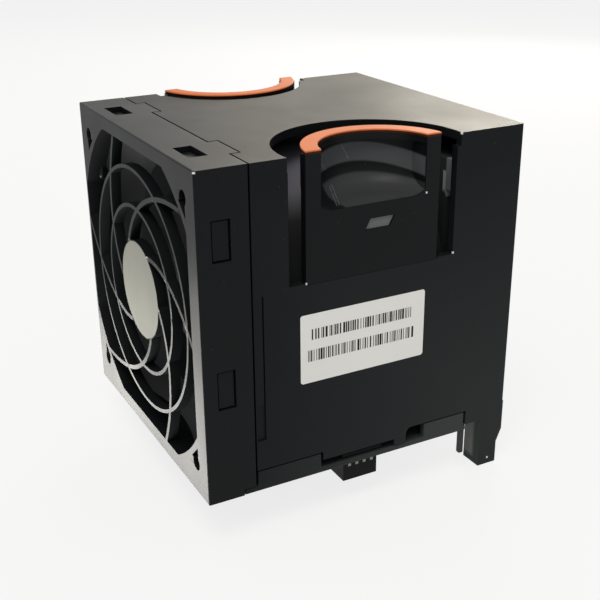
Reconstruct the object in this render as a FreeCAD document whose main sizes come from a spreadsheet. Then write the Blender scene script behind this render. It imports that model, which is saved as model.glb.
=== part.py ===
import FreeCAD, Part
import math
import os
from types import SimpleNamespace

import Sketcher

# Hot-swap server fan module: two counter-rotating 60 mm fans, one behind the other, in a moulded cartridge
# with a grille, two squeeze latches with finger scoops, and a blind-mate connector under the floor.
#
# Frame: millimetres. +X is the side that carries the label, -Y is the air inlet, +Z is up.
# The origin is under the middle of the module, level with the feet of its two rear legs.

doc = FreeCAD.newDocument("server_fan_module")
V = FreeCAD.Vector

SIZES = [
    # the cartridge as a whole
    ("body_width", 72.6),
    ("body_length", 79.7),
    ("body_height", 75.0),
    ("leg_drop", 11.6),
    ("shell_wall", 2.0),
    ("axis_lift", 0.45),
    ("fit_gap", 0.2),
    ("seam_gap", 0.4),
    # inlet frame and its flared mouth
    ("inlet_depth", 11.45),
    ("inlet_lift", 0.1),
    ("edge_round", 0.35),
    ("mouth_flare", 10.0),
    ("mouth_lip", 4.5),
    ("mouth_left_land", 1.0),
    ("mouth_right_land", 5.0),
    ("mouth_floor_land", 3.7),
    ("mouth_top_land", 3.1),
    ("screw_spread", 0.4),
    ("screw_radius", 1.75),
    ("screw_depth", 8.0),
    ("notch_reach", 4.2),
    ("notch_side", 1.1),
    ("notch_back", 2.4),
    ("notch_depth", 3.0),
    ("tab_offset", 22.1),
    ("tab_width", 10.8),
    ("tab_reach", 2.3),
    # snap hooks between the shroud and the inlet frame
    ("hook_width", 8.2),
    ("hook_thickness", 1.4),
    ("hook_reach", 7.9),
    ("hook_length", 3.5),
    ("hook_rise", 1.3),
    ("top_hook_rise", 0.5),
    ("hook_root", 2.2),
    ("window_skin", 1.5),
    ("window_clearance", 0.35),
    ("side_hook_low", 27.0),
    ("side_hook_drop", 14.95),
    # grille
    ("grille_depth", 2.4),
    ("hub_radius", 11.7),
    ("hub_disc_thickness", 1.2),
    ("inner_ring_radius", 19.9),
    ("outer_ring_lap", -0.2),
    ("ring_width", 0.85),
    ("rib_width", 1.05),
    ("rib_count", 6),
    ("rib_angle", 24.5),
    ("rib_twist", 61.0),
    # shroud
    ("corner_round", 0.4),
    ("cutout_radius", 21.4),
    ("cutout_inset", 2.4),
    ("cutout_middle", 1.5),
    ("left_cutout_radius", 20.1),
    ("left_cutout_out", 2.95),
    ("left_cutout_middle", 0.8),
    ("slot_front", -19.6),
    ("slot_rear", 21.9),
    # moulded lines behind the seam: a narrow groove above a wider pocket
    ("groove_rear", -25.65),
    ("groove_width", 0.35),
    ("groove_height", 25.0),
    ("pocket_width", 2.0),
    ("pocket_low", 12.6),
    ("pocket_height", 8.9),
    ("groove_depth", 0.5),
    ("skirt_height", 5.4),
    ("skirt_mid_height", 3.3),
    ("skirt_front_end", -11.4),
    ("skirt_mid_end", 7.8),
    ("skirt_tab_end", 11.0),
    ("skirt_setback", 11.45),
    ("skirt_round", 1.5),
    ("leg_length", 6.7),
    ("leg_thickness", 6.0),
    ("leg_toe", 1.4),
    ("leg_taper_top", 2.5),
    ("leg_taper_low", 5.9),
    # base tray
    ("tray_thickness", 1.4),
    ("tray_tongue", 2.85),
    ("tray_setback", 11.15),
    ("tray_inset", 0.2),
    ("tray_port_end", 16.3),
    ("tray_rim_wall", 1.6),
    ("tab_thickness", 1.2),
    ("tab_drop", 6.7),
    ("rail_width", 1.0),
    ("rail_height", 1.7),
    ("rail_inset", 4.0),
    # latch with its finger scoop
    ("latch_width", 33.0),
    ("latch_middle", 0.9),
    ("latch_length", 27.7),
    ("pivot_clearance", 0.06),
    ("scoop_radius", 16.64),
    ("scoop_centre_out", 2.15),
    ("left_latch_width", 36.6),
    ("left_scoop_radius", 18.6),
    ("left_scoop_centre_out", 3.4),
    ("scoop_wall", 1.6),
    ("scoop_depth", 12.5),
    ("scoop_floor_thickness", 1.2),
    ("scoop_round", 5.0),
    ("rim_width", 3.56),
    ("rim_flange", 1.4),
    ("grip_height", 0.8),
    ("grip_proud", 0.8),
    ("sight_front", -1.3),
    ("sight_rear", 6.2),
    ("sight_lean", 1.3),
    ("sight_drop", 15.8),
    ("sight_height", 2.4),
    # fans
    ("fan_margin", 13.608),
    ("fan_width_share", 0.58),
    ("fan_wall", 1.0),
    ("outlet_depth", 12.25),
    ("flange_thickness", 4.0),
    ("barrel_bulge", 0.6),
    ("flange_hole_inset", 5.0),
    ("flange_hole_radius", 2.15),
    ("base_radius", 16.5),
    ("base_start", 0.5),
    ("base_thickness", 2.0),
    ("strut_width", 2.0),
    ("strut_depth", 3.6),
    ("rotor_gap", 0.5),
    ("front_struts", 5),
    ("rear_struts", 4),
    ("tip_clearance", 0.5),
    ("hub_outer_radius", 17.0),
    ("hub_wall", 1.2),
    ("hub_recess", 1.0),
    ("front_blades", 7),
    ("rear_blades", 5),
    ("blade_setback", 11.0),
    ("root_chord", 20.0),
    ("tip_chord", 22.0),
    ("root_stagger", 40.0),
    ("tip_stagger", 57.0),
    ("root_thickness", 1.6),
    ("tip_thickness", 1.0),
    ("blade_camber", 0.09),
    ("yoke_wall", 1.0),
    ("yoke_start", 6.5),
    ("boss_radius", 3.4),
    ("boss_length", 3.0),
    ("magnet_thickness", 1.5),
    ("magnet_start", 7.0),
    ("magnet_length", 9.0),
    ("shaft_radius", 1.5),
    ("shaft_start", 2.6),
    ("running_clearance", 0.05),
    ("bearing_radius", 4.0),
    ("bearing_length", 4.0),
    ("bearing_low", 3.6),
    ("bearing_high", 13.6),
    ("tube_wall", 1.0),
    ("tube_end", 18.0),
    ("tube_floor", 0.7),
    ("clip_radius", 2.8),
    ("clip_thickness", 0.4),
    ("air_gap", 0.5),
    ("core_start", 7.0),
    ("core_length", 8.0),
    ("core_ring", 2.6),
    ("pole_width", 3.4),
    ("shoe_thickness", 1.3),
    ("shoe_opening", 3.0),
    ("coil_width", 8.0),
    ("coil_depth", 2.6),
    ("coil_inset", 1.0),
    ("coil_overhang", 1.2),
    ("board_radius", 14.4),
    ("board_start", 3.4),
    ("board_thickness", 1.2),
    # outlet
    ("duct_wall", 2.0),
    ("duct_plate", 1.5),
    ("guard_thickness", 1.5),
    ("guard_ring_width", 1.6),
    ("guard_spokes", 6),
    # isolating pads
    ("pad_width_share", 0.15),
    ("pad_offset", 11.0),
    ("pad_height_share", 0.125),
    # connector and its leads
    ("plug_length", 12.0),
    ("plug_width", 9.1),
    ("plug_shift", -0.05),
    ("plug_inset", 1.8),
    ("plug_drop", 5.4),
    ("plug_flange", 1.0),
    ("plug_flange_rim", 0.8),
    ("contact_count", 4),
    ("contact_pitch", 2.0),
    ("contact_width", 0.8),
    ("contact_thickness", 0.4),
    ("contact_depth", 4.0),
    ("contact_proud", 0.15),
    ("lead_radius", 0.9),
    ("lead_bend", 2.0),
    ("lead_start", 12.0),
    ("lead_level", 4.2),
    ("lead_spacing", 4.0),
    # labels
    ("label_thickness", 0.1),
    ("label_front", -17.05),
    ("label_rear", 14.8),
    ("label_gap", 7.1),
    ("label_height", 16.3),
    ("sticker_gap_front", 3.4),
    ("sticker_gap_rear", 3.6),
    ("sticker_from", 8.0),
    ("sticker_sweep", 44.0),
    ("sticker_lift", 0.02),
]

sheet = doc.addObject("Spreadsheet::Sheet", "Sizes")
for row, (alias, number) in enumerate(SIZES, start=1):
    sheet.set(f"A{row}", alias)
    sheet.set(f"B{row}", str(number))
    sheet.setAlias(f"B{row}", alias)
doc.recompute()


class Dim:
    """A length with the sheet expression that it comes from, so that objects can be bound to it."""

    def __init__(self, text, value):
        self.text = text
        self.value = value

    def __add__(self, other):
        other = dim(other)
        return Dim(f"({self.text} + {other.text})", self.value + other.value)

    def __sub__(self, other):
        other = dim(other)
        return Dim(f"({self.text} - {other.text})", self.value - other.value)

    def __mul__(self, other):
        other = dim(other)
        return Dim(f"({self.text} * {other.text})", self.value * other.value)

    def __truediv__(self, other):
        other = dim(other)
        return Dim(f"({self.text} / {other.text})", self.value / other.value)

    def __neg__(self):
        return Dim(f"(0 - {self.text})", -self.value)

    def __radd__(self, other):
        return dim(other) + self

    def __rsub__(self, other):
        return dim(other) - self

    def __rmul__(self, other):
        return dim(other) * self


def dim(number):
    """A Dim from a Dim or a plain number."""
    if isinstance(number, Dim):
        return number
    return Dim(f"({number})", float(number))


s = SimpleNamespace(**{alias: Dim(f"Sizes.{alias}", float(sheet.get(alias))) for alias, number in SIZES})

# Places that several sub-parts share.
side = s.body_width / 2
front = -s.body_length / 2
back = s.body_length / 2
floor = s.leg_drop
top = floor + s.body_height
axis_z = floor + s.body_height / 2 + s.axis_lift
seam = front + s.inlet_depth
shroud_front = seam + s.seam_gap
inner_side = side - s.shell_wall
inner_top = top - s.shell_wall
inner_back = back - s.shell_wall
tray_top = floor + s.tray_thickness
skirt_foot = tray_top + s.fit_gap
tray_end = back - s.tray_setback
skirt_rear_end = back - s.skirt_setback
side_hook_levels = (floor + s.side_hook_low, top - s.side_hook_drop)
# The two fans are square, follow the cartridge's width and height, and share its length.
fan_half = (s.body_width * s.fan_width_share + s.body_height * (1 - s.fan_width_share) - s.fan_margin) / 2
fan_length = (s.body_length - s.inlet_depth - s.outlet_depth) / 2
fan_middle = seam + fan_length
fan_back = fan_middle + fan_length
throat_radius = fan_half - s.fan_wall
barrel_radius = fan_half + s.barrel_bulge
mouth_left = side - s.mouth_left_land
screw_offset = fan_half + s.screw_spread / 2
hub_end = fan_length - s.hub_recess
pivot_x = side - s.shell_wall / 2
pivot_z = top - s.latch_length
bowl_floor = top - s.scoop_depth
label_heights = (pivot_z - s.label_gap - s.label_height, pivot_z - s.label_gap)
tip_radius = throat_radius - s.tip_clearance
yoke_radius = s.hub_outer_radius - s.hub_wall
magnet_radius = yoke_radius - s.yoke_wall
hub_start = s.base_start + s.strut_depth + s.rotor_gap
core_radius = magnet_radius - s.magnet_thickness - s.air_gap
tube_radius = s.bearing_radius + s.tube_wall
plug_face = side - s.plug_inset
plug_middle = fan_middle + s.plug_shift
OVERCUT = 1.0

RIGHT = "right"
LEFT = "left"
# The latch on the label side is narrower, and its cut-out leaves it more room to swing in.
LATCHES = {
    RIGHT: SimpleNamespace(sign=1, radius=s.scoop_radius, out=s.scoop_centre_out, half=s.latch_width / 2,
                           cutout=s.cutout_radius, cutout_x=side - s.cutout_inset,
                           cutout_y=s.cutout_middle),
    LEFT: SimpleNamespace(sign=-1, radius=s.left_scoop_radius, out=s.left_scoop_centre_out,
                          half=s.left_latch_width / 2, cutout=s.left_cutout_radius,
                          cutout_x=side + s.left_cutout_out, cutout_y=s.left_cutout_middle),
}
FRONT = "front"
REAR = "rear"
SIGN = {FRONT: -1, REAR: 1}
TURN = {
    "X": FreeCAD.Rotation(V(0, 1, 0), 90),
    "Y": FreeCAD.Rotation(V(1, 0, 0), -90),
    "Z": FreeCAD.Rotation(),
}
sub_parts = []


def place(item, x, y, z):
    """Binds an object's position."""
    for axis, position in zip("xyz", (x, y, z)):
        item.setExpression(f"Placement.Base.{axis}", dim(position).text)


def block(name, x, y, z):
    """A box between three (low, high) pairs."""
    item = doc.addObject("Part::Box", name)
    for prop, (low, high) in zip(("Length", "Width", "Height"), (x, y, z)):
        item.setExpression(prop, (dim(high) - low).text)
    place(item, x[0], y[0], z[0])
    return item


def rod(name, axis, radius, span, centre):
    """A cylinder along an axis, between the two ends of span; centre holds its other two coordinates."""
    low, high = span
    item = doc.addObject("Part::Cylinder", name)
    item.Placement.Rotation = TURN[axis]
    item.setExpression("Radius", dim(radius).text)
    item.setExpression("Height", (dim(high) - low).text)
    base = list(centre)
    base.insert("XYZ".index(axis), low)
    place(item, *base)
    return item


def fuse(name, items):
    """One solid from several that overlap, or a group of those that do not."""
    item = doc.addObject("Part::MultiFuse", name)
    item.Shapes = items
    return item


def cut(name, base, tools):
    """The base without the tools."""
    item = doc.addObject("Part::Cut", name)
    item.Base = base
    item.Tool = tools[0] if len(tools) == 1 else fuse(f"{name}_tools", tools)
    return item


def common(name, base, tool):
    """What the two objects share."""
    item = doc.addObject("Part::Common", name)
    item.Base = base
    item.Tool = tool
    return item


def ring(name, axis, outer, inner, span, centre):
    """A tube or washer."""
    return cut(name, rod(f"{name}_outer", axis, outer, span, centre),
               [rod(f"{name}_bore", axis, inner, span, centre)])


def rounded(name, base, radius, wanted):
    """The base with a fillet on each edge that the test picks."""
    doc.recompute()
    item = doc.addObject("Part::Fillet", name)
    item.Base = base
    item.Edges = [(number, radius.value, radius.value)
                  for number, edge in enumerate(base.Shape.Edges, start=1) if wanted(edge)]
    return item


def shaped(name, shape):
    """A feature whose shape is worked out in code from the sheet's values."""
    item = doc.addObject("Part::Feature", name)
    item.Shape = shape
    return item


def keep(item, node):
    """Names a finished sub-part."""
    item.Label = node
    sub_parts.append(item)
    return item


def fan_y(end, depth):
    """The position along Y of a depth measured from the plane between the two fans."""
    return fan_middle + SIGN[end] * dim(depth)


def fan_span(end, start, finish):
    """A (low, high) pair along Y between two depths of one fan."""
    ends = (fan_y(end, start), fan_y(end, finish))
    return ends if end == REAR else (ends[1], ends[0])


def on_plane(body, role):
    """The body's own origin plane of that role."""
    return next(plane for plane in body.Origin.OriginFeatures if plane.Role == role)


def outline(body, name, role, points):
    """A closed sketch of straight lines whose corners are bound to the sheet."""
    sketch = body.newObject("Sketcher::SketchObject", name)
    sketch.AttachmentSupport = [(on_plane(body, role), "")]
    sketch.MapMode = "FlatFace"
    corners = [(dim(u), dim(v)) for u, v in points]
    count = len(corners)
    for number, (u, v) in enumerate(corners):
        next_u, next_v = corners[(number + 1) % count]
        sketch.addGeometry(Part.LineSegment(V(u.value, v.value, 0), V(next_u.value, next_v.value, 0)))
    for number in range(count):
        sketch.addConstraint(Sketcher.Constraint("Coincident", number, 2, (number + 1) % count, 1))
    for number, corner in enumerate(corners):
        for kind, own_axis, distance in (("DistanceX", -2, corner[0]), ("DistanceY", -1, corner[1])):
            if distance.value == 0:
                sketch.addConstraint(Sketcher.Constraint("PointOnObject", number, 1, own_axis))
                continue
            index = sketch.addConstraint(Sketcher.Constraint(kind, -1, 1, number, 1, distance.value))
            sketch.setExpression(f"Constraints[{index}]", distance.text)
    return sketch


def turned(name, points, centre):
    """A body of revolution about the fan axis; points are (radius, y)."""
    body = doc.addObject("PartDesign::Body", name)
    sketch = outline(body, f"{name}_outline", "XY_Plane", points)
    turn = body.newObject("PartDesign::Revolution", f"{name}_turn")
    turn.Profile = sketch
    turn.ReferenceAxis = (sketch, ["V_Axis"])
    turn.Angle = 360
    place(body, *centre)
    return body


def padded(name, points, x):
    """A plate with a straight-sided outline in Y and Z, between a (low, high) pair in X."""
    body = doc.addObject("PartDesign::Body", name)
    sketch = outline(body, f"{name}_outline", "YZ_Plane", points)
    pad = body.newObject("PartDesign::Pad", f"{name}_pad")
    pad.Profile = sketch
    pad.setExpression("Length", (dim(x[1]) - x[0]).text)
    place(body, x[0], 0, 0)
    return body


def mirrored(name, source):
    """The same shape on the other side of the module."""
    item = doc.addObject("Part::Mirroring", name)
    item.Source = source
    item.Normal = V(1, 0, 0)
    item.Base = V(0, 0, 0)
    return item


def both_sides(name, build):
    """Two copies made by one function, for the +X and -X sides."""
    return [build(f"{name}_right", 1), build(f"{name}_left", -1)]


def span_x(sign, near, far):
    """A (low, high) pair in X between two distances from the middle, on one side."""
    return (dim(near), dim(far)) if sign > 0 else (-dim(far), -dim(near))


def mouth_space():
    """The air space of the mouth: a straight lip, then a cone down to the throat, flat on four sides."""
    wide = throat_radius + s.mouth_flare
    lip_end = front + s.mouth_lip
    lip = rod("mouth_lip", "Y", wide, (front, lip_end), (0, axis_z))
    cone = doc.addObject("Part::Cone", "mouth_cone")
    cone.Placement.Rotation = TURN["Y"]
    cone.setExpression("Radius1", wide.text)
    cone.setExpression("Radius2", throat_radius.text)
    cone.setExpression("Height", (seam - lip_end).text)
    place(cone, 0, lip_end, axis_z)
    bell = fuse("mouth_bell", [lip, cone])
    limits = block("mouth_limits", (-mouth_left, side - s.mouth_right_land), (front, seam),
                   (floor + s.mouth_floor_land, top - s.mouth_top_land))
    return common("mouth_space", bell, limits)


def top_hook_span(sign, extra=0):
    """The X span of a top snap hook, widened on both sides by extra."""
    half = s.hook_width / 2 + extra
    return span_x(sign, s.tab_offset - half, s.tab_offset + half)


def corner_notch(x_sign, z_sign):
    """The tail that a corner screw hole has, pointing along the frame towards the middle of its side."""
    hole = screw_offset.value
    edge = hole + s.notch_side.value
    points = [(edge, hole), (edge, hole - s.notch_reach.value),
              (hole - s.notch_back.value, hole - s.screw_radius.value / 2)]
    corners = [V(x_sign * x, (front - OVERCUT).value, axis_z.value + z_sign * z) for x, z in points]
    face = Part.Face(Part.makePolygon(corners + corners[:1]))
    return face.extrude(V(0, (s.notch_depth + OVERCUT).value, 0))


def inlet_frame(air):
    """The front moulding: flared mouth, corner screw holes, two tabs and the windows of six snap hooks."""
    underside = floor + s.inlet_lift
    outer = block("inlet_outer", (-side, side), (front, seam), (underside, top))
    outer = rounded("inlet_round", outer, s.edge_round,
                    lambda edge: all(abs(p.Point.y - front.value) < 1e-6 for p in edge.Vertexes))
    tabs = both_sides("inlet_tab", lambda name, sign: block(
        name, span_x(sign, s.tab_offset - s.tab_width / 2, s.tab_offset + s.tab_width / 2),
        (seam - s.inlet_depth / 2, seam + s.tab_reach), (inner_top, top)))
    tools = [air]
    tongue_room = block("inlet_tongue_room", (-side - OVERCUT, side + OVERCUT),
                        (seam - s.tray_tongue, seam + OVERCUT), (underside - OVERCUT, skirt_foot))
    tools.append(tongue_room)
    for x_sign in (-1, 1):
        for z_sign in (-1, 1):
            centre = (x_sign * screw_offset, axis_z + z_sign * screw_offset)
            tools.append(rod("inlet_screw_hole", "Y", s.screw_radius,
                             (front - OVERCUT, front + s.screw_depth), centre))
            tools.append(shaped("inlet_corner_notch", corner_notch(x_sign, z_sign)))
    arm_low = s.window_skin + s.hook_thickness + s.window_clearance
    tip = seam - s.hook_reach - s.window_clearance
    window = (tip, seam - s.hook_reach + s.hook_length + s.window_clearance)
    for sign in (-1, 1):
        spread = top_hook_span(sign, s.window_clearance)
        tools.append(block("inlet_top_slot", spread, (tip, seam + s.tab_reach + OVERCUT),
                           (top - arm_low - s.fit_gap, top - s.window_skin)))
        tools.append(block("inlet_top_window", spread, window, (top - arm_low, top + OVERCUT)))
        for level in side_hook_levels:
            heights = (level - s.hook_width / 2 - s.window_clearance,
                       level + s.hook_width / 2 + s.window_clearance)
            slot = span_x(sign, side - arm_low - s.fit_gap, side - s.window_skin)
            tools.append(block("inlet_side_slot", slot, (tip, seam + OVERCUT), heights))
            through = span_x(sign, side - arm_low, side + OVERCUT)
            tools.append(block("inlet_side_window", through, window, heights))
    return keep(cut("inlet_frame", fuse("inlet_body", [outer] + tabs), tools), "inlet_frame")


def spiral_rib(turn_angle, start, finish):
    """One rib that follows a logarithmic spiral from start to finish, as an upright strip."""
    steps = 7
    half = s.rib_width.value / 2
    twist = math.radians(s.rib_twist.value)
    lean = math.atan(twist)
    sides = ([], [])
    for step in range(steps):
        radius = start * (finish / start) ** (step / (steps - 1))
        turned_back = twist * math.log(radius / s.inner_ring_radius.value)
        angle = math.radians(s.rib_angle.value + turn_angle) - turned_back
        normal = angle + math.pi / 2 - lean
        for strip, offset in zip(sides, (half, -half)):
            strip.append(V(radius * math.cos(angle) + offset * math.cos(normal), front.value,
                           axis_z.value + radius * math.sin(angle) + offset * math.sin(normal)))
    curves = []
    for strip in (sides[0], sides[1][::-1]):
        curve = Part.BSplineCurve()
        curve.interpolate(strip)
        curves.append(curve.toShape())
    outer_end = Part.LineSegment(sides[0][-1], sides[1][-1]).toShape()
    inner_end = Part.LineSegment(sides[1][0], sides[0][0]).toShape()
    wire = Part.Wire([curves[0], outer_end, curves[1], inner_end])
    return Part.Face(wire).extrude(V(0, s.grille_depth.value, 0))


def inlet_grille(air):
    """Finger guard over the inlet: two rings, a hub plate and six spiral ribs that run out to the frame."""
    depth = (front, front + s.grille_depth)
    centre = (0, axis_z)
    count = round(s.rib_count.value)
    reach = math.hypot(mouth_left.value, (axis_z - floor).value)
    ribs = [spiral_rib(360 * number / count, s.hub_radius.value - s.rib_width.value / 4, reach)
            for number in range(count)]
    ribs = common("grille_ribs_trimmed", shaped("grille_ribs", Part.makeCompound(ribs)), air)
    half = s.ring_width / 2
    rings = [ring(f"grille_ring_{label}", "Y", radius + half, radius - half, depth, centre)
             for label, radius in (("inner", s.inner_ring_radius),
                                   ("outer", throat_radius + s.outer_ring_lap))]
    plate = rod("grille_hub_plate", "Y", s.hub_radius, depth, centre)
    body = fuse("grille_body", [ribs, plate] + rings)
    seat = rod("grille_disc_seat", "Y", s.hub_radius - s.fit_gap,
               (front - OVERCUT, front + s.hub_disc_thickness), centre)
    return keep(cut("inlet_grille", body, [seat]), "inlet_grille")


def hub_disc():
    """Pale round plate in the middle of the grille."""
    disc = rod("hub_disc", "Y", s.hub_radius - s.fit_gap, (front, front + s.hub_disc_thickness), (0, axis_z))
    return keep(disc, "hub_disc")


def shroud_hooks():
    """Six snap hooks in front of the shroud's edge, two at the top and two on each side."""
    tip = seam - s.hook_reach
    root = shroud_front + s.hook_root
    face = s.window_skin + s.fit_gap
    arm = (face, face + s.hook_thickness)
    hooks = []
    for sign in (-1, 1):
        spread = top_hook_span(sign)
        notch_end = seam + s.tab_reach + s.seam_gap
        top_root = notch_end + s.hook_root
        hooks.append(block("hook_top_arm", spread, (tip, top_root), (top - arm[1], top - arm[0])))
        hooks.append(block("hook_top_root", spread, (notch_end, top_root), (top - arm[1], inner_top)))
        hooks.append(block("hook_top_catch", spread, (tip, tip + s.hook_length),
                           (top - arm[0], top - arm[0] + s.top_hook_rise)))
        for level in side_hook_levels:
            heights = (level - s.hook_width / 2, level + s.hook_width / 2)
            flat = span_x(sign, side - arm[1], side - arm[0])
            joined = span_x(sign, side - arm[1], inner_side)
            raised = span_x(sign, side - arm[0], side - arm[0] + s.hook_rise)
            hooks.append(block("hook_side_arm", flat, (tip, root), heights))
            hooks.append(block("hook_side_root", joined, (shroud_front, root), heights))
            hooks.append(block("hook_side_catch", raised, (tip, tip + s.hook_length), heights))
    return hooks


def rear_leg(name, sign):
    """A leg under a rear corner, narrower at the toe."""
    start = back - s.leg_length
    toe = back - s.leg_toe
    head = floor + s.skirt_height
    points = [(start, 0), (toe, 0), (toe, floor - s.leg_taper_low), (back, floor - s.leg_taper_top),
              (back, head), (start, head)]
    return padded(name, points, span_x(sign, side - s.leg_thickness, side))


def shroud_openings():
    """Finger cut-outs, latch slots, the stepped lower edge, tab notches, air outlet and label recess."""
    wide = (-side - OVERCUT, side + OVERCUT)
    under = skirt_foot - OVERCUT
    skirt_edge = floor + s.skirt_height
    mid_edge = floor + s.skirt_mid_height

    def at_tab_corner(edge):
        return all(abs(p.Point.y - s.skirt_tab_end.value) < 1e-6
                   and abs(p.Point.z - skirt_edge.value) < 1e-6 for p in edge.Vertexes)

    rear_step = block("skirt_rear_block", wide, (s.skirt_tab_end, skirt_rear_end), (under, skirt_edge))
    tools = [
        block("skirt_front_step", wide, (shroud_front - OVERCUT, s.skirt_front_end), (under, skirt_edge)),
        block("skirt_mid_step", wide, (s.skirt_front_end, s.skirt_mid_end), (under, mid_edge)),
        rounded("skirt_rear_step", rear_step, s.skirt_round, at_tab_corner),
        rod("outlet_hole", "Y", throat_radius, (inner_back - OVERCUT, back + OVERCUT), (0, axis_z)),
    ]
    for latch in LATCHES.values():
        sign = latch.sign
        notch = s.tab_width / 2 + s.seam_gap
        tools.append(rod("scoop_cutout", "Z", latch.cutout, (inner_top - OVERCUT, top + OVERCUT),
                         (sign * latch.cutout_x, latch.cutout_y)))
        tools.append(block("latch_slot", span_x(sign, inner_side - OVERCUT, side + OVERCUT),
                           (s.slot_front, s.slot_rear), (pivot_z, top + OVERCUT)))
        tools.append(rod("pivot_groove", "Y", s.shell_wall / 2 + s.pivot_clearance,
                         (s.latch_middle - latch.half - s.fit_gap, s.latch_middle + latch.half + s.fit_gap),
                         (sign * pivot_x, pivot_z)))
        shallow = span_x(sign, side - s.groove_depth, side + OVERCUT)
        pocket_top = floor + s.pocket_low + s.pocket_height
        tools.append(block("side_groove", shallow, (s.groove_rear - s.groove_width, s.groove_rear),
                           (pocket_top - OVERCUT, pocket_top + s.groove_height)))
        tools.append(block("side_pocket", shallow, (s.groove_rear - s.pocket_width, s.groove_rear),
                           (floor + s.pocket_low, pocket_top)))
        tools.append(block("tab_notch", span_x(sign, s.tab_offset - notch, s.tab_offset + notch),
                           (shroud_front - OVERCUT, seam + s.tab_reach + s.seam_gap),
                           (inner_top - s.fit_gap, top + OVERCUT)))
    tools.append(block("label_recess", (side - s.label_thickness, side + OVERCUT),
                       (s.label_front, s.label_rear), label_heights))
    return tools


def housing_shroud():
    """The main shell: top, two sides and rear wall, a rear floor strip, two legs and six snap hooks."""
    outer = block("shroud_outer", (-side, side), (shroud_front, back), (skirt_foot, top))
    outer = rounded("shroud_round", outer, s.corner_round,
                    lambda edge: all(abs(p.Point.y - back.value) < 1e-6 for p in edge.Vertexes)
                    and abs(edge.Vertexes[0].Point.x - edge.Vertexes[1].Point.x) < 1e-6)
    hollow = block("shroud_hollow", (-inner_side, inner_side), (shroud_front - OVERCUT, inner_back),
                   (skirt_foot - OVERCUT, inner_top))
    walls = cut("shroud_walls", outer, [hollow])
    strip = block("shroud_floor_strip", (-pivot_x, pivot_x),
                  (tray_end + s.fit_gap, inner_back + s.shell_wall / 2),
                  (skirt_foot, skirt_foot + s.shell_wall))
    solid = fuse("shroud_solid", [walls, strip] + both_sides("leg", rear_leg))
    opened = cut("shroud_cut", solid, shroud_openings())
    return keep(fuse("housing_shroud", [opened] + shroud_hooks()), "housing_shroud")


def base_tray():
    """Floor of the module: plate, side rims, inner rails, two rear tabs and the connector's opening."""
    edge = side - s.tray_inset
    ends = (seam - s.tray_tongue + s.fit_gap, tray_end)
    plate = block("tray_plate", (-edge, edge), ends, (floor, tray_top))
    rim_top = floor + s.skirt_height - s.seam_gap
    pieces = [plate]
    for sign in (-1, 1):
        rim = span_x(sign, edge - s.tray_rim_wall, edge)
        for start, end in ((shroud_front + s.fit_gap, s.skirt_front_end - s.seam_gap),
                           (s.tray_port_end, skirt_rear_end - s.seam_gap)):
            pieces.append(block("tray_rim", rim, (start, end), (floor, rim_top)))
        rail = span_x(sign, side - s.rail_inset - s.rail_width, side - s.rail_inset)
        pieces.append(block("tray_rail", rail, (s.skirt_front_end, s.skirt_mid_end),
                            (floor, tray_top + s.rail_height)))
        pieces.append(block("tray_tab", span_x(sign, edge - s.tray_rim_wall, edge - s.tray_inset * 2),
                            (tray_end - s.tab_thickness, tray_end), (floor - s.tab_drop, tray_top)))
    half = s.plug_width / 2 + s.fit_gap / 2
    opening = block("tray_plug_opening",
                    (plug_face - s.plug_length - s.fit_gap / 2, plug_face + s.fit_gap / 2),
                    (plug_middle - half, plug_middle + half), (floor - OVERCUT, tray_top + OVERCUT))
    rim = s.plug_flange_rim + s.fit_gap / 2
    collar_room = block("tray_collar_room", (plug_face - s.plug_length - rim, plug_face + rim),
                        (plug_middle - s.plug_width / 2 - rim, plug_middle + s.plug_width / 2 + rim),
                        (tray_top, tray_top + s.rail_height + OVERCUT))
    return keep(cut("base_tray", fuse("tray_body", pieces), [opening, collar_room]), "base_tray")


def edge_at_height(height, radius):
    """A test for the round edge of that radius at that height."""
    def wanted(edge):
        return (hasattr(edge.Curve, "Radius") and abs(edge.Curve.Radius - radius.value) < 1e-6
                and abs(edge.CenterOfMass.z - height.value) < 1e-6)
    return wanted


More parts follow.
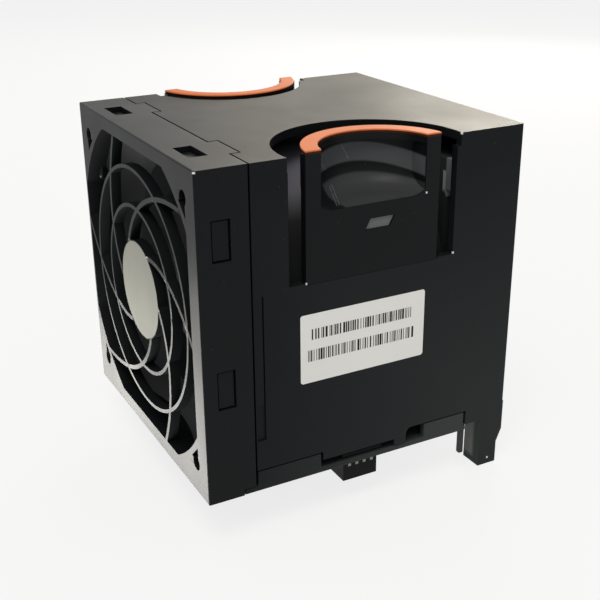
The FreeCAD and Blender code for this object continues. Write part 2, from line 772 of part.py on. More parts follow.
def release_latch(label):
    """Bowl-ended half cup on two posts and a plate, open to the side and the top."""
    latch = LATCHES[label]
    centre = (side + latch.out, s.latch_middle)
    ends = (s.latch_middle - latch.half, s.latch_middle + latch.half)
    depth = (inner_side - latch.radius, side)
    underside = bowl_floor - s.scoop_floor_thickness
    flange_top = top - s.grip_height + s.grip_proud
    cup = rod(f"{label}_cup_rod", "Z", latch.radius, (underside, flange_top), centre)
    cup = rounded(f"{label}_scoop_cup", cup, s.scoop_round + s.scoop_floor_thickness,
                  edge_at_height(underside, latch.radius))
    bowl_radius = latch.radius - s.scoop_wall
    bowl = rod(f"{label}_bowl_rod", "Z", bowl_radius, (bowl_floor, flange_top - s.rim_flange), centre)
    bowl = rounded(f"{label}_bowl", bowl, s.scoop_round, edge_at_height(bowl_floor, bowl_radius))
    throat = rod(f"{label}_scoop_throat", "Z", latch.radius - s.rim_width,
                 (bowl_floor + s.scoop_round, flange_top + OVERCUT), centre)
    clear = block(f"{label}_between_posts", (depth[0], side + OVERCUT),
                  (ends[0] + s.rim_width, ends[1] - s.rim_width), (underside, flange_top + OVERCUT))
    hollow = common(f"{label}_scoop_hollow", fuse(f"{label}_scoop_space", [bowl, throat]), clear)
    limits = block(f"{label}_scoop_limits", depth, ends, (underside, flange_top))
    plate = block(f"{label}_latch_plate", (inner_side, side), ends, (pivot_z, bowl_floor))
    posts = [block(f"{label}_latch_post", (inner_side, side), span, (pivot_z, flange_top))
             for span in ((ends[0], ends[0] + s.rim_width), (ends[1] - s.rim_width, ends[1]))]
    bead = rod(f"{label}_latch_bead", "Y", s.shell_wall / 2, ends, (pivot_x, pivot_z))
    sill = top - s.sight_drop - s.sight_height
    lintel = sill + s.sight_height
    sight = padded(f"{label}_latch_sight",
                   [(s.sight_front, sill), (s.sight_rear - s.sight_lean, sill),
                    (s.sight_rear, lintel), (s.sight_front + s.sight_lean, lintel)],
                   (inner_side - OVERCUT, side + OVERCUT))
    body = fuse(f"{label}_latch_body", [common(f"{label}_scoop_trimmed", cup, limits), plate, bead] + posts)
    return on_own_side(label, f"release_latch_{label}", cut(f"{label}_latch_solid", body, [hollow, sight]))


def finger_grip(label):
    """Thin coloured cap on the rim of the scoop."""
    latch = LATCHES[label]
    span = (top - s.grip_height + s.grip_proud, top + s.grip_proud)
    arc = ring(f"{label}_grip_ring", "Z", latch.radius, latch.radius - s.rim_width, span,
               (side + latch.out, s.latch_middle))
    limits = block(f"{label}_grip_limits", (inner_side - latch.radius, side),
                   (s.latch_middle - latch.half, s.latch_middle + latch.half), span)
    return on_own_side(label, f"finger_grip_{label}", common(f"{label}_grip_solid", arc, limits))


def on_own_side(label, node, solid):
    """Keeps a sub-part that was made for the +X side, as it is or mirrored."""
    return keep(solid if label == RIGHT else mirrored(f"{label}_{node}", solid), node)


def fan_frame(end):
    """Square end flange, round barrel, motor base and the struts that carry it."""
    centre = (0, axis_z)
    barrel_span = fan_span(end, 0, fan_length)
    square = (axis_z - fan_half, axis_z + fan_half)
    barrel = common(f"{end}_barrel", rod(f"{end}_barrel_rod", "Y", barrel_radius, barrel_span, centre),
                    block(f"{end}_barrel_flats", (-fan_half, fan_half), barrel_span, square))
    flange_start = fan_length - s.flange_thickness
    flange = block(f"{end}_flange", (-fan_half, fan_half), fan_span(end, flange_start, fan_length), square)
    hole_offset = fan_half - s.flange_hole_inset
    tools = [rod(f"{end}_air_path", "Y", throat_radius, barrel_span, centre)]
    for x_sign in (-1, 1):
        for z_sign in (-1, 1):
            tools.append(rod(f"{end}_flange_hole", "Y", s.flange_hole_radius,
                             fan_span(end, flange_start - OVERCUT, fan_length + OVERCUT),
                             (x_sign * hole_offset, axis_z + z_sign * hole_offset)))
    shell = cut(f"{end}_shell", fuse(f"{end}_shell_body", [barrel, flange]), tools)
    base = ring(f"{end}_motor_base", "Y", s.base_radius, tube_radius,
                fan_span(end, s.base_start, s.base_start + s.base_thickness), centre)
    count = round((s.front_struts if end == FRONT else s.rear_struts).value)
    struts = []
    bite = 0.5
    length = (throat_radius - s.base_radius).value + 2 * bite
    corner = V(s.base_radius.value - bite, 0, -s.strut_width.value / 2)
    for number in range(count):
        strut = Part.makeBox(length, s.strut_depth.value, s.strut_width.value, corner)
        strut.rotate(V(0, 0, 0), V(0, 1, 0), 360 * number / count + 45)
        low = fan_span(end, s.base_start, s.base_start + s.strut_depth)[0]
        strut.translate(V(0, low.value, axis_z.value))
        struts.append(strut)
    trimmed = common(f"{end}_struts_trimmed", shaped(f"{end}_struts", Part.makeCompound(struts)),
                     rod(f"{end}_strut_limit", "Y", throat_radius + bite, barrel_span, centre))
    return keep(fuse(f"fan_frame_{end}", [shell, base, trimmed]), f"fan_frame_{end}")


def blade_section(radius, chord, stagger, thickness, handed):
    """A closed aerofoil-like wire in the plane square to the radius, about the origin."""
    steps = 5
    upper, lower = [], []
    lean = math.radians(stagger)
    for step in range(steps):
        part = step / (steps - 1)
        along = (part - 0.5) * chord
        bow = s.blade_camber.value * chord * 4 * part * (1 - part)
        half = thickness / 2 * (0.35 + 0.65 * math.sin(math.pi * part))
        for line, across in ((upper, bow + half), (lower, bow - half)):
            tangential = along * math.sin(lean) + across * math.cos(lean)
            axial = along * math.cos(lean) - across * math.sin(lean)
            line.append(V(handed * tangential, axial, radius))
    edges = []
    for line in (upper, lower[::-1]):
        curve = Part.BSplineCurve()
        curve.interpolate(line)
        edges.append(curve.toShape())
    edges.insert(1, Part.LineSegment(upper[-1], lower[-1]).toShape())
    edges.append(Part.LineSegment(lower[0], upper[0]).toShape())
    return Part.Wire(edges)


def blades(end):
    """The twisted blades of one impeller, trimmed to the tip circle."""
    count = round((s.front_blades if end == FRONT else s.rear_blades).value)
    handed = SIGN[end]
    root = s.hub_outer_radius.value - s.hub_wall.value + 0.2
    tip = throat_radius.value
    sections = []
    for share in (0, 0.5, 1):
        chord = s.root_chord.value * (1 - share) + s.tip_chord.value * share
        stagger = s.root_stagger.value * (1 - share) + s.tip_stagger.value * share
        thickness = s.root_thickness.value * (1 - share) + s.tip_thickness.value * share
        sections.append(blade_section(root * (1 - share) + tip * share, chord, stagger, thickness, handed))
    one = Part.makeLoft(sections, True)
    if end == FRONT:
        one = one.mirror(V(0, 0, 0), V(0, 1, 0))
    swept = []
    for number in range(count):
        copy = one.copy()
        copy.rotate(V(0, 0, 0), V(0, 1, 0), 360 * number / count)
        copy.translate(V(0, fan_y(end, fan_length - s.blade_setback).value, axis_z.value))
        swept.append(copy)
    return common(f"{end}_blades_trimmed", shaped(f"{end}_blades", Part.makeCompound(swept)),
                  rod(f"{end}_tip_limit", "Y", tip_radius, fan_span(end, hub_start, hub_end), (0, axis_z)))


def impeller(end):
    """Hub cup with its blades."""
    hub = turned(f"{end}_hub", [
        (0, fan_y(end, hub_end)), (s.hub_outer_radius, fan_y(end, hub_end)),
        (s.hub_outer_radius, fan_y(end, hub_start)), (yoke_radius, fan_y(end, hub_start)),
        (yoke_radius, fan_y(end, hub_end - s.hub_wall)), (0, fan_y(end, hub_end - s.hub_wall)),
    ], (0, 0, axis_z))
    return keep(fuse(f"impeller_{end}", [hub, blades(end)]), f"impeller_{end}")


def rotor_metal(end):
    """Steel yoke, ring magnet, shaft and the clip that keeps the shaft in its bearings."""
    centre = (0, axis_z)
    inside = hub_end - s.hub_wall
    yoke = turned(f"rotor_yoke_{end}", [
        (s.shaft_radius, fan_y(end, inside)), (yoke_radius, fan_y(end, inside)),
        (yoke_radius, fan_y(end, s.yoke_start)), (magnet_radius, fan_y(end, s.yoke_start)),
        (magnet_radius, fan_y(end, inside - s.yoke_wall)), (s.boss_radius, fan_y(end, inside - s.yoke_wall)),
        (s.boss_radius, fan_y(end, inside - s.yoke_wall - s.boss_length)),
        (s.shaft_radius, fan_y(end, inside - s.yoke_wall - s.boss_length)),
    ], (0, 0, axis_z))
    keep(yoke, f"rotor_yoke_{end}")
    keep(ring(f"magnet_ring_{end}", "Y", magnet_radius, magnet_radius - s.magnet_thickness,
              fan_span(end, s.magnet_start, s.magnet_start + s.magnet_length), centre), f"magnet_ring_{end}")
    keep(rod(f"rotor_shaft_{end}", "Y", s.shaft_radius, fan_span(end, s.shaft_start, inside), centre),
         f"rotor_shaft_{end}")
    clip_end = s.bearing_low - s.fit_gap
    keep(ring(f"shaft_clip_{end}", "Y", s.clip_radius, s.shaft_radius,
              fan_span(end, clip_end - s.clip_thickness, clip_end), centre), f"shaft_clip_{end}")


def motor_metal(end):
    """Bearing tube, two ball bearings and the four-pole core with its windings and circuit board."""
    centre = (0, axis_z)
    tube = cut(f"bearing_tube_{end}", rod(f"{end}_tube_outer", "Y", tube_radius,
                                          fan_span(end, s.base_start, s.tube_end), centre),
               [rod(f"{end}_tube_bore", "Y", s.bearing_radius,
                    fan_span(end, s.base_start + s.tube_floor, s.tube_end), centre)])
    keep(tube, f"bearing_tube_{end}")
    bore = s.shaft_radius + s.running_clearance
    races = [ring(f"{end}_bearing_{label}", "Y", s.bearing_radius, bore,
                  fan_span(end, start, start + s.bearing_length), centre)
             for label, start in (("low", s.bearing_low), ("high", s.bearing_high))]
    keep(fuse(f"ball_bearings_{end}", races), f"ball_bearings_{end}")
    keep(stator_core(end), f"stator_core_{end}")
    keep(coil_windings(end), f"coil_windings_{end}")
    keep(ring(f"driver_board_{end}", "Y", s.board_radius, tube_radius + s.fit_gap / 2,
              fan_span(end, s.board_start, s.board_start + s.board_thickness), centre), f"driver_board_{end}")


def stator_core(end):
    """Laminated core: a ring on the bearing tube, four poles and their curved shoes."""
    centre = (0, axis_z)
    span = fan_span(end, s.core_start, s.core_start + s.core_length)
    half = s.pole_width / 2
    reach = core_radius - s.shoe_thickness / 2
    poles = [block(f"{end}_pole_pair_x", (-reach, reach), span, (axis_z - half, axis_z + half)),
             block(f"{end}_pole_pair_z", (-half, half), span, (axis_z - reach, axis_z + reach))]
    yoke = rod(f"{end}_core_ring", "Y", tube_radius + s.core_ring, span, centre)
    shoes = ring(f"{end}_core_shoes", "Y", core_radius, core_radius - s.shoe_thickness, span, centre)
    gaps = []
    for angle in (45, 135):
        gap = doc.addObject("Part::Box", f"{end}_shoe_opening")
        gap.setExpression("Length", (2 * core_radius + 2).text)
        gap.setExpression("Width", s.shoe_opening.text)
        gap.setExpression("Height", (span[1] - span[0]).text)
        turn = FreeCAD.Rotation(V(0, 1, 0), angle).multiply(FreeCAD.Rotation(V(1, 0, 0), -90))
        corner = turn.multVec(V(-core_radius.value - 1, -s.shoe_opening.value / 2, 0))
        gap.Placement.Rotation = turn
        place(gap, corner.x, span[0], axis_z + corner.z)
        gaps.append(gap)
    arms = fuse(f"{end}_core_arms", poles + [yoke, cut(f"{end}_core_shoes_cut", shoes, gaps)])
    return cut(f"stator_core_{end}", arms, [rod(f"{end}_core_bore", "Y", tube_radius, span, centre)])


def coil_windings(end):
    """Four windings, one round each pole."""
    low, high = fan_span(end, s.core_start - s.coil_overhang, s.core_start + s.core_length + s.coil_overhang)
    reach = core_radius - s.shoe_thickness - s.coil_inset
    radial = (reach - s.coil_depth, reach)
    half = s.coil_width / 2
    core_half = s.pole_width / 2
    span = fan_span(end, s.core_start, s.core_start + s.core_length)
    coils = []
    for sign in (-1, 1):
        out = span_x(sign, *radial)
        wound = block(f"{end}_coil_x_block", out, (low, high), (axis_z - half, axis_z + half))
        pole = block(f"{end}_coil_x_core", out, span, (axis_z - core_half, axis_z + core_half))
        coils.append(cut(f"{end}_coil_x", wound, [pole]))
        height = (axis_z + out[0], axis_z + out[1])
        wound = block(f"{end}_coil_z_block", (-half, half), (low, high), height)
        pole = block(f"{end}_coil_z_core", (-core_half, core_half), span, height)
        coils.append(cut(f"{end}_coil_z", wound, [pole]))
    return fuse(f"coil_windings_{end}", coils)


def outlet_duct():
    """Round duct from the rear fan to the rear wall, with a square plate against the fan."""
    centre = (0, axis_z)
    tube = rod("duct_tube", "Y", throat_radius + s.duct_wall, (fan_back, inner_back), centre)
    plate = block("duct_plate_block", (-fan_half, fan_half), (fan_back, fan_back + s.duct_plate),
                  (axis_z - fan_half, axis_z + fan_half))
    bore = rod("duct_bore", "Y", throat_radius, (fan_back, inner_back), centre)
    return keep(cut("outlet_duct", fuse("duct_body", [tube, plate]), [bore]), "outlet_duct")


def outlet_guard():
    """Finger guard in the rear wall: three rings, a hub and straight spokes."""
    centre = (0, axis_z)
    depth = (inner_back, inner_back + s.guard_thickness)
    width = s.guard_ring_width
    pieces = [ring("guard_outer_ring", "Y", throat_radius, throat_radius - width, depth, centre),
              rod("guard_hub", "Y", s.hub_radius, depth, centre),
              ring("guard_mid_ring", "Y", s.inner_ring_radius + width / 2,
                   s.inner_ring_radius - width / 2, depth, centre)]
    count = round(s.guard_spokes.value)
    spokes = []
    bite = 0.5
    length = (throat_radius - s.hub_radius - width / 2).value + bite
    corner = V(s.hub_radius.value - bite, inner_back.value, -width.value / 2)
    for number in range(count):
        spoke = Part.makeBox(length, s.guard_thickness.value, width.value, corner)
        spoke.rotate(V(0, 0, 0), V(0, 1, 0), 360 * number / count)
        spoke.translate(V(0, 0, axis_z.value))
        spokes.append(spoke)
    pieces.append(shaped("guard_spoke_set", Part.makeCompound(spokes)))
    return keep(fuse("outlet_guard", pieces), "outlet_guard")


def isolating_pads():
    """Soft pads that hold the fans: above and below the front flange, and beside the rear flange."""
    reach = fan_half * s.pad_width_share
    height = 2 * fan_half * s.pad_height_share
    across = (s.pad_offset - reach, s.pad_offset + reach)
    front_span = (seam + s.fit_gap * 2, seam + s.flange_thickness)
    pads = []
    for sign in (-1, 1):
        pads.append(block("pad_above", span_x(sign, *across), front_span, (axis_z + fan_half, inner_top)))
        pads.append(block("pad_below", span_x(sign, *across), front_span, (tray_top, axis_z - fan_half)))
    keep(fuse("isolator_pads_front", pads), "isolator_pads_front")
    rear_span = (fan_back - s.flange_thickness, fan_back)
    pads = []
    for sign in (-1, 1):
        gap = span_x(sign, fan_half, inner_side)
        pads.append(block("pad_high", gap, rear_span, (axis_z + fan_half - height, axis_z + fan_half)))
        pads.append(block("pad_low", gap, rear_span, (axis_z - fan_half, axis_z - fan_half + height)))
    keep(fuse("isolator_pads_rear", pads), "isolator_pads_rear")


def contact_y(number):
    """The middle of one contact along the connector."""
    return plug_middle + (number - (s.contact_count - 1) / 2) * s.contact_pitch


def connector():
    """Blind-mate connector below the tray, with its spring contacts."""
    half = s.plug_width / 2
    ends = (plug_face - s.plug_length, plug_face)
    foot = floor - s.plug_drop
    flange = tray_top + s.plug_flange
    rim = s.plug_flange_rim
    body = block("plug_block", ends, (plug_middle - half, plug_middle + half), (foot, flange))
    collar = block("plug_collar", (ends[0] - rim, ends[1] + rim),
                   (plug_middle - half - rim, plug_middle + half + rim), (tray_top, flange))
    gap = s.fit_gap / 2
    cavities = []
    contacts = []
    tail = (floor - s.contact_width * 2, floor - s.contact_width)
    for number in range(round(s.contact_count.value)):
        middle = contact_y(number)
        width = s.contact_width / 2
        across = (middle - width, middle + width)
        room = (middle - width - gap, middle + width + gap)
        for row in (1, 3):
            near = plug_face - row * s.plug_length / 4
            blade = (near - s.contact_thickness / 2, near + s.contact_thickness / 2)
            cavity = (blade[0] - s.contact_thickness, blade[1] + s.contact_thickness)
            cavities.append(block("plug_cavity", cavity, room, (foot - OVERCUT, foot + s.contact_depth)))
            contacts.append(block("plug_blade", blade, across,
                                  (foot + s.contact_thickness, foot + s.contact_depth)))
        slot = (plug_face - s.contact_thickness, plug_face + OVERCUT)
        cavities.append(block("plug_tail_slot", slot, room, tail))
        contacts.append(block("plug_tail", (slot[0], plug_face + s.contact_proud), across, tail))
    keep(cut("connector_housing", fuse("plug_body", [body, collar]), cavities), "connector_housing")
    keep(fuse("connector_contacts", contacts), "connector_contacts")


def lead_tube(y):
    """One sleeved lead: down from the barrel, along under the fans and down into the connector."""
    bend = s.lead_bend.value
    start_x = s.lead_start.value
    end_x = (plug_face - s.plug_length / 2).value
    level = (tray_top + s.lead_level).value
    drop = math.sqrt(barrel_radius.value ** 2 - (start_x - s.lead_radius.value) ** 2)
    exit_z = axis_z.value - drop - s.fit_gap.value
    end_z = (tray_top + s.plug_flange).value
    mid = bend * (1 - math.sqrt(0.5))
    edges = [
        Part.LineSegment(V(start_x, y, exit_z), V(start_x, y, level + bend)),
        Part.Arc(V(start_x, y, level + bend), V(start_x + mid, y, level + mid), V(start_x + bend, y, level)),
        Part.LineSegment(V(start_x + bend, y, level), V(end_x - bend, y, level)),
        Part.Arc(V(end_x - bend, y, level), V(end_x - mid, y, level - mid), V(end_x, y, level - bend)),
        Part.LineSegment(V(end_x, y, level - bend), V(end_x, y, end_z)),
    ]
    path = Part.Wire([edge.toShape() for edge in edges])
    section = Part.Wire([Part.Circle(V(start_x, y, exit_z), V(0, 0, 1), s.lead_radius.value).toShape()])
    return path.makePipeShell([section], True, False)


def fan_leads():
    """The sleeved leads of the two fans."""
    half = s.lead_spacing.value / 2
    tubes = [lead_tube(plug_middle.value + sign * half) for sign in (-1, 1)]
    return keep(shaped("fan_leads", Part.makeCompound(tubes)), "fan_leads")


def labels():
    """Plain label in its recess on the +X side, and a sticker round the rear fan's barrel."""
    keep(block("side_label", (side - s.label_thickness, side), (s.label_front, s.label_rear),
               label_heights), "side_label")
    centre = (0, axis_z)
    span = (fan_middle + s.sticker_gap_front, fan_back - s.flange_thickness - s.sticker_gap_rear)
    bore = barrel_radius + s.sticker_lift
    outer = rod("sticker_outer", "Y", bore + s.label_thickness, span, centre)
    outer.setExpression("Angle", s.sticker_sweep.text)
    start = FreeCAD.Rotation(V(0, 1, 0), -s.sticker_from.value - s.sticker_sweep.value)
    outer.Placement.Rotation = start.multiply(TURN["Y"])
    wedge = cut("sticker_wrap", outer, [rod("sticker_bore", "Y", bore, span, centre)])
    clear = block("sticker_clear", (-fan_half, fan_half), span, (axis_z - fan_half, axis_z + fan_half))
    keep(common("fan_label", wedge, clear), "fan_label")


def build():
    """Makes every sub-part."""
    air = mouth_space()
    inlet_frame(air)
    inlet_grille(air)
    hub_disc()
    housing_shroud()
    base_tray()
    for label in LATCHES:
        release_latch(label)
        finger_grip(label)
    for end in (FRONT, REAR):
        fan_frame(end)
        impeller(end)
        rotor_metal(end)
        motor_metal(end)
    outlet_duct()
    outlet_guard()
    isolating_pads()
    connector()
    fan_leads()
    labels()


def check():
    """Stops on any failed object or bad shape."""
    for item in doc.Objects:
        if "Invalid" in item.State or "Error" in item.State:
            raise RuntimeError(f"{item.Name} failed: {item.State}")
    for item in sub_parts:
        if item.Shape.isNull() or not item.Shape.isValid() or not item.Shape.Solids:
            raise RuntimeError(f"{item.Label} has no valid solid")


def export():
    """Writes one STEP file for each sub-part."""
    os.makedirs("parts", exist_ok=True)
    for item in sub_parts:
        item.Shape.exportStep(os.path.join("parts", f"{item.Label}.step"))
        print(f"{item.Label}: {len(item.Shape.Solids)} solid(s), {item.Shape.Volume:.1f} mm3")


build()
doc.recompute()
check()
export()
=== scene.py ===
"""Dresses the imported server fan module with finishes, printing and studio light.

Lengths are millimetres in the row frame, apart from names that end in _m: +X is the side with the label, -Y is
the air inlet, and +Z is up. Meshes are made in metres.
"""

import logging
import math
import random
from dataclasses import dataclass
from enum import Enum
from typing import Any, Callable

import bmesh
import bpy
from mathutils import Matrix, Vector

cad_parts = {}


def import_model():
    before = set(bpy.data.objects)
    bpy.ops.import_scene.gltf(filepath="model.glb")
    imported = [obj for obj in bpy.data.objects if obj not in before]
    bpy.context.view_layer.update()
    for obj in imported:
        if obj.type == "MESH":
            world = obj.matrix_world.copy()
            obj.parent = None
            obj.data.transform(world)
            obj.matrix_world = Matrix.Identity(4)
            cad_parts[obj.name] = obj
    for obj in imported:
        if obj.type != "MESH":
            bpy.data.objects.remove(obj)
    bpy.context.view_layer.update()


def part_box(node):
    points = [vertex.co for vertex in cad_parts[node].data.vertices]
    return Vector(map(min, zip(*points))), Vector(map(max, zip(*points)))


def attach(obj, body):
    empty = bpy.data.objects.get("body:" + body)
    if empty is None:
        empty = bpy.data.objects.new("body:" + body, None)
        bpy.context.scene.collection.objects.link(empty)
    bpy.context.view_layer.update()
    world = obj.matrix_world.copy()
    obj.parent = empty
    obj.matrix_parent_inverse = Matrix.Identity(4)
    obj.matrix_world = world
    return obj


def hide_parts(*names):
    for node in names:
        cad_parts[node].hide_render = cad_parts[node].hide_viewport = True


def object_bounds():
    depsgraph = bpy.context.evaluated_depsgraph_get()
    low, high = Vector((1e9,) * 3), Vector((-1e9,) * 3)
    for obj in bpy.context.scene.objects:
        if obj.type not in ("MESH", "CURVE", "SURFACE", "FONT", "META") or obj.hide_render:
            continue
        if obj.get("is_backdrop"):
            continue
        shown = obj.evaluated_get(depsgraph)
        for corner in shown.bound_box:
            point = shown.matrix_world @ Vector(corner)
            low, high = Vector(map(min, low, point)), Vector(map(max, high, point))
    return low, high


LOG = logging.getLogger("server_fan_module")
MM = 0.001

# The sRGB curve: a straight toe, then a power curve with an offset.
SRGB_TOE = 0.04045
SRGB_TOE_SLOPE = 12.92
SRGB_OFFSET = 0.055
SRGB_SCALE = 1.055
SRGB_POWER = 2.4

# How a solid's split corners are joined, its edges rounded and its flat faces kept flat.
JOIN_DISTANCE_MM = 0.0004
EDGE_SEGMENTS = 2
NORMAL_WEIGHT = 100


class Side(Enum):
    """The two long sides of the cartridge, by the sign of X."""

    RIGHT = 1
    LEFT = -1


class End(Enum):
    """The two fans, one behind the other."""

    FRONT = "front"
    REAR = "rear"


def linear(code: str) -> tuple[float, float, float, float]:
    """Turns an sRGB hex colour into linear RGBA.

    Args:
        code: six hex digits after a hash.

    Returns:
        Linear red, green, blue and an alpha of 1.
    """
    channels = [int(code[start : start + 2], 16) / 255 for start in (1, 3, 5)]
    red, green, blue = (
        level / SRGB_TOE_SLOPE if level <= SRGB_TOE else ((level + SRGB_OFFSET) / SRGB_SCALE) ** SRGB_POWER
        for level in channels
    )
    return red, green, blue, 1.0


def add_node(
    tree: bpy.types.NodeTree, kind: str, settings: dict[Any, Any] | None = None, links: dict[Any, Any] | None = None
) -> bpy.types.Node:
    """Adds one node with its settings and incoming links.

    Args:
        tree: the node tree that gets it.
        kind: the node type.
        settings: values by property name or by input name or number.
        links: output sockets by input name or number.

    Returns:
        The new node.
    """
    node = tree.nodes.new(kind)
    for key, value in (settings or {}).items():
        if isinstance(key, str) and hasattr(node, key):
            setattr(node, key, value)
        else:
            node.inputs[key].default_value = value
    for key, socket in (links or {}).items():
        tree.links.new(socket, node.inputs[key])
    return node


def blank_material(name: str) -> tuple[bpy.types.Material, bpy.types.NodeTree, bpy.types.NodeSocket]:
    """Makes an empty node material.

    Args:
        name: the material's name.

    Returns:
        The material, its tree and its surface socket.
    """
    material = bpy.data.materials.new(name)
    material.use_nodes = True
    tree = material.node_tree
    tree.nodes.clear()
    return material, tree, add_node(tree, "ShaderNodeOutputMaterial").inputs["Surface"]


@dataclass(frozen=True)
class Patch:
    """A boxed part of a moulding with painted light or shade in another tone, the same on both sides of the cartridge.

    Its ends along Y sag below its middle, and its top leans along Y, by so many millimetres.
    """

    colour: str
    low: tuple[float, float, float]
    high: tuple[float, float, float]
    fade: float = 0.3
    sag: float = 0.0
    lean: float = 0.0

    def share(self, tree: bpy.types.NodeTree, place: bpy.types.NodeSocket) -> bpy.types.NodeSocket:
        """Works out how much of the patch shows.

        Args:
            tree: the material's nodes.
            place: the point, in metres.

        Returns:
            A socket that is 1 inside the box and falls to 0 over the fade round it.
        """
        middle = (Vector(self.low) + Vector(self.high)) / 2 * MM
        half = (Vector(self.high) - Vector(self.low)) / 2 * MM
        x, y, z = add_node(tree, "ShaderNodeSeparateXYZ", links={0: place}).outputs
        sideways = add_node(tree, "ShaderNodeMath", {"operation": "ABSOLUTE"}, {0: x}).outputs[0]
        above = add_node(tree, "ShaderNodeMath", {"operation": "SUBTRACT", 1: middle.z}, {0: z}).outputs[0]
        upright = add_node(
            tree, "ShaderNodeMath", {"operation": "MULTIPLY_ADD", 1: -self.lean * MM / half.z / 2}, {0: above, 2: y}
        ).outputs[0]
        along = add_node(tree, "ShaderNodeMath", {"operation": "SUBTRACT", 1: middle.y}, {0: upright}).outputs[0]
        square = add_node(tree, "ShaderNodeMath", {"operation": "MULTIPLY"}, {0: along, 1: along}).outputs[0]
        level = add_node(
            tree, "ShaderNodeMath", {"operation": "MULTIPLY_ADD", 1: self.sag * MM / half.y**2}, {0: square, 2: z}
        ).outputs[0]
        point = add_node(tree, "ShaderNodeCombineXYZ", links={0: sideways, 1: upright, 2: level}).outputs[0]
        away = add_node(tree, "ShaderNodeVectorMath", {"operation": "SUBTRACT", 1: middle}, {0: point}).outputs[0]
        away = add_node(tree, "ShaderNodeVectorMath", {"operation": "ABSOLUTE"}, {0: away}).outputs[0]
        beyond = add_node(tree, "ShaderNodeVectorMath", {"operation": "SUBTRACT", 1: half}, {0: away}).outputs[0]
        axes = add_node(tree, "ShaderNodeSeparateXYZ", links={0: beyond}).outputs
        farthest = add_node(tree, "ShaderNodeMath", {"operation": "MAXIMUM"}, {0: axes[0], 1: axes[1]}).outputs[0]
        farthest = add_node(tree, "ShaderNodeMath", {"operation": "MAXIMUM"}, {0: farthest, 1: axes[2]}).outputs[0]
        return add_node(
            tree, "ShaderNodeMapRange", {"From Max": self.fade * MM, "To Min": 1.0, "To Max": 0.0}, {"Value": farthest}
        ).outputs["Result"]


@dataclass(frozen=True)
class MouldedPlastic:
    """A filled plastic straight from a spark-eroded mould: an even grain, cloudy flow marks and dust."""

    name: str
    colour: str
    cloud: str
    roughness: float = 0.42
    roughness_swing: float = 0.08
    grain_mm: float = 0.35
    grain_depth_mm: float = 0.012
    cloud_mm: float = 22.0
    specular: float = 0.1
    ior: float = 1.52
    dust: float = 0.0
    patches: tuple[Patch, ...] = ()
    cloud_detail: float = 3.0
    cloud_contrast: float = 0.55
    cloud_low: float = 0.3
    cloud_high: float = 0.7
    grain_detail: float = 2.0
    grain_contrast: float = 0.6
    grain_strength: float = 0.6
    dust_colour: str = "#9A9C9A"
    dust_spacing_mm: float = 2.2
    dust_core: float = 0.02
    dust_rim: float = 0.05

    def material(self) -> bpy.types.Material:
        """Makes the material."""
        material, tree, surface = blank_material(self.name)
        place = add_node(tree, "ShaderNodeTexCoord").outputs["Object"]
        cloud = add_node(
            tree,
            "ShaderNodeTexNoise",
            {"Scale": 1 / (self.cloud_mm * MM), "Detail": self.cloud_detail, "Roughness": self.cloud_contrast},
            {"Vector": place},
        ).outputs["Fac"]
        grain = add_node(
            tree,
            "ShaderNodeTexNoise",
            {"Scale": 1 / (self.grain_mm * MM), "Detail": self.grain_detail, "Roughness": self.grain_contrast},
            {"Vector": place},
        ).outputs["Fac"]
        tint = add_node(
            tree,
            "ShaderNodeMix",
            {"data_type": "RGBA", 6: linear(self.colour), 7: linear(self.cloud)},
            {"Factor": cloud},
        ).outputs[2]
        if self.dust:
            specks = add_node(
                tree,
                "ShaderNodeTexVoronoi",
                {"Scale": 1 / (self.dust_spacing_mm * MM), "Randomness": 1.0},
                {"Vector": place},
            ).outputs["Distance"]
            lit = add_node(
                tree,
                "ShaderNodeMapRange",
                {"From Min": self.dust_core, "From Max": self.dust_rim, "To Min": self.dust, "To Max": 0.0},
                {"Value": specks},
            ).outputs["Result"]
            tint = add_node(
                tree,
                "ShaderNodeMix",
                {"data_type": "RGBA", 7: linear(self.dust_colour)},
                {"Factor": lit, 6: tint},
            ).outputs[2]
        for patch in self.patches:
            tint = add_node(
                tree,
                "ShaderNodeMix",
                {"data_type": "RGBA", 7: linear(patch.colour)},
                {"Factor": patch.share(tree, place), 6: tint},
            ).outputs[2]
        gloss = add_node(
            tree,
            "ShaderNodeMapRange",
            {
                "From Min": self.cloud_low,
                "From Max": self.cloud_high,
                "To Min": self.roughness - self.roughness_swing,
                "To Max": self.roughness + self.roughness_swing,
            },
            {"Value": cloud},
        ).outputs["Result"]
        bump = add_node(
            tree,
            "ShaderNodeBump",
            {"Strength": self.grain_strength, "Distance": self.grain_depth_mm * MM},
            {"Height": grain},
        ).outputs["Normal"]
        shader = add_node(
            tree,
            "ShaderNodeBsdfPrincipled",
            {"IOR": self.ior, "Specular IOR Level": self.specular},
            {"Base Color": tint, "Roughness": gloss, "Normal": bump},
        )
        tree.links.new(shader.outputs["BSDF"], surface)
        return material


